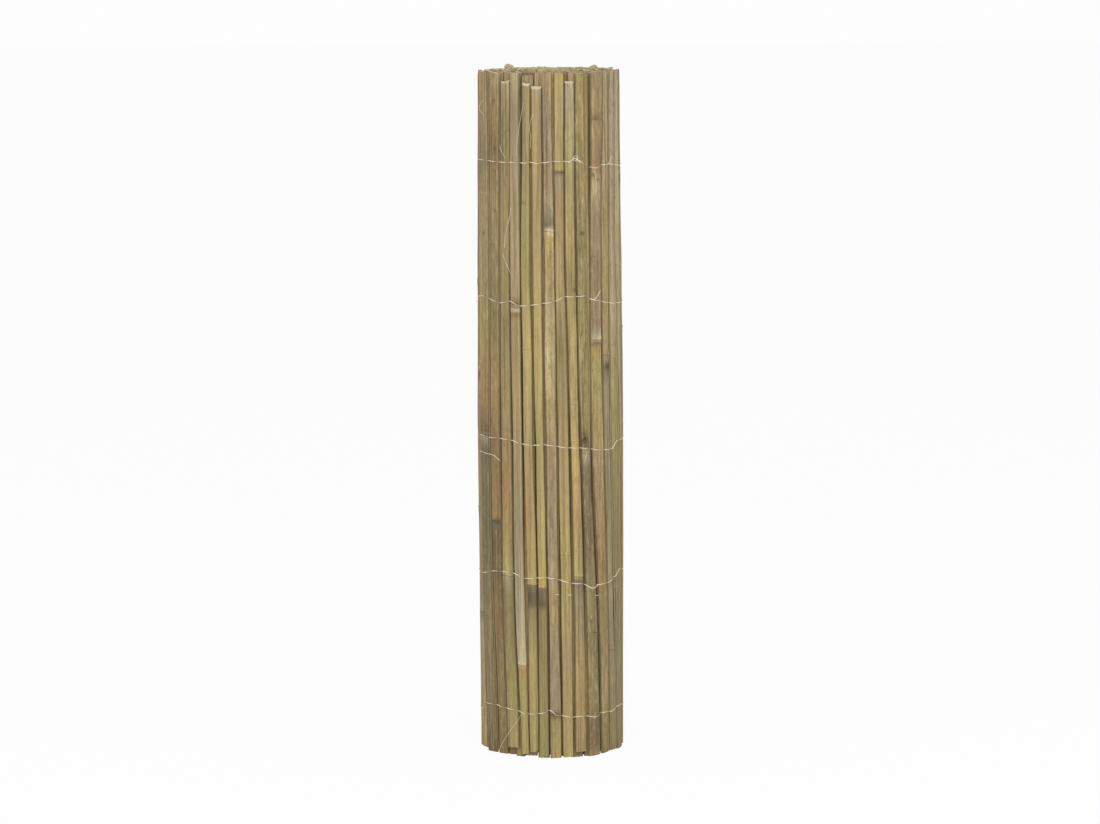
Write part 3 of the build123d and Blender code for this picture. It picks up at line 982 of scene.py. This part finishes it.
fibres = dict(
    leftWisp=((-64, 951, 5), (-70, 944, 6.4), (-70, 936, 6.6), (-62, 930, 5.2)),
    gapWisp=((-12.5, 934, 5.5), (-14.5, 926, 6), (-16, 912, 6.2), (-14, 901, 6.2), (-15.5, 892, 6),
             (-14.6, 884, 5)),
    longWisp=((-20.5, 950, 5), (-22, 932, 6), (-24.5, 912, 6.2), (-26, 886, 6), (-27, 874, 5)),
    hookWisp=((-42, 888, 5), (-41, 881, 6), (-38, 875, 6.2), (-36.5, 870, 5)),
    sideWisp=((-31.5, 800, 5), (-32, 786, 6), (-34.5, 772, 6.2), (-37, 757, 6), (-37.4, 742, 5)),
    lowTail=((-25, 64, 5), (-29, 52, 6), (-37, 33, 6.6), (-44, 14, 6.6), (-47.5, 4, 6)),
    upperWisp=((-39.5, 733, 5), (-37, 724, 6), (-34, 714, 6.2), (-31.5, 704, 5)),
    rightWisp=((36, 852, 5), (37.5, 846, 6), (36.6, 838, 6.2), (38.4, 829, 5)),
)


def ringPoint(turn, height, out):
    x, y = onSlat(math.radians(turn), edgeRadius + softBulge(height) - wireShape["ringSink"], 0, out)
    return toWorld(x, y, height)


for name, line in looseWires.items():
    path = [ringPoint(*spot) for spot in line]
    piece = makeTube("wire_" + name, path, wireShape["looseRadius"], wireFinish, smooth=True)
    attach(piece, "root")
for name, line in fibres.items():
    path = [ringPoint(*spot) for spot in line]
    piece = makeTube("fibre_" + name, path, wireShape["fibreRadius"], fibreFinish, smooth=True)
    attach(piece, "root")
print("loose ends made")


# Floor, lights and camera

stage = dict(size=30.0, albedo=0.9, roughness=0.9, whiteShare=0.94, worldLight=0.62, seenLight=0.985)


def makeFloor():
    bm = bmesh.new()
    bmesh.ops.create_grid(bm, x_segments=1, y_segments=1, size=stage["size"])
    finish = Finish("paleFloor")
    finish.feed(finish.shader, {
        "Base Color": (stage["albedo"],) * 3 + (1,),
        "Roughness": stage["roughness"],
        "Specular IOR Level": 0.0,
    })
    # the camera sees the floor nearly white, with some of its shadow left
    seen = finish.node("ShaderNodeLightPath")
    glow = finish.node("ShaderNodeEmission", None, {"Color": (1, 1, 1, 1), "Strength": 1.0})
    lit = Signal(finish.tree, finish.shader.outputs[0])
    blend = finish.node("ShaderNodeMixShader", None, {0: seen * stage["whiteShare"], 1: lit, 2: glow})
    finish.feed(finish.tree.nodes["Material Output"], {"Surface": blend})
    floor = finishMesh(bm, "studioFloor", (finish.material,), smooth=False)


def makeWorld():
    # plain even light, and white where the camera or a reflection sees the background
    world = bpy.data.worlds.new("studio")
    world.use_nodes = True
    bpy.context.scene.world = world
    tree = world.node_tree
    path = tree.nodes.new("ShaderNodeLightPath")
    camera = Signal(tree, path.outputs["Is Camera Ray"])
    glossy = Signal(tree, path.outputs["Is Glossy Ray"])
    through = Signal(tree, path.outputs["Is Transmission Ray"])
    seen = camera + glossy + through
    strength = stage["worldLight"] + (stage["seenLight"] - stage["worldLight"]) * seen
    back = tree.nodes["Background"]
    back.inputs["Color"].default_value = (1, 1, 1, 1)
    tree.links.new(strength.socket, back.inputs["Strength"])


lamps = dict(
    front=dict(place=(0.1, -4.4, 3.2), size=(3.0, 2.4), power=90),
    frontRight=dict(place=(3.2, -2.6, 2.2), size=(2.0, 2.4), power=24),
    frontLeft=dict(place=(-3.2, -2.6, 2.2), size=(2.0, 2.4), power=16),
)
lampAim = (0, 0, 0.5)


def addLamp(name, place, size, power):
    lamp = bpy.data.lights.new(name, "AREA")
    lamp.shape = "RECTANGLE"
    lamp.size = size[0]
    lamp.size_y = size[1]
    lamp.energy = power
    holder = bpy.data.objects.new(name, lamp)
    holder.location = place
    holder.rotation_euler = (Vector(lampAim) - Vector(place)).to_track_quat("-Z", "Y").to_euler()
    bpy.context.scene.collection.objects.link(holder)


makeFloor()
makeWorld()
for name, lamp in lamps.items():
    addLamp(name, **lamp)

cameraLook = dict(place=(0.0, -6.0, 1.235), aim=(-0.0007, 0.0, 0.4935), lens=135.4, sensor=36.0, roll=0.35)
camera = bpy.data.objects.new("photoCamera", bpy.data.cameras.new("photoCamera"))
camera.data.lens = cameraLook["lens"]
camera.data.sensor_width = cameraLook["sensor"]
camera.location = cameraLook["place"]
sight = (Vector(cameraLook["aim"]) - camera.location).to_track_quat("-Z", "Y")
tilt = Quaternion((0, 0, 1), -math.radians(cameraLook["roll"]))
camera.rotation_euler = (sight @ tilt).to_euler()
bpy.context.scene.collection.objects.link(camera)
bpy.context.scene.camera = camera
bpy.context.scene.view_settings.view_transform = "Standard"
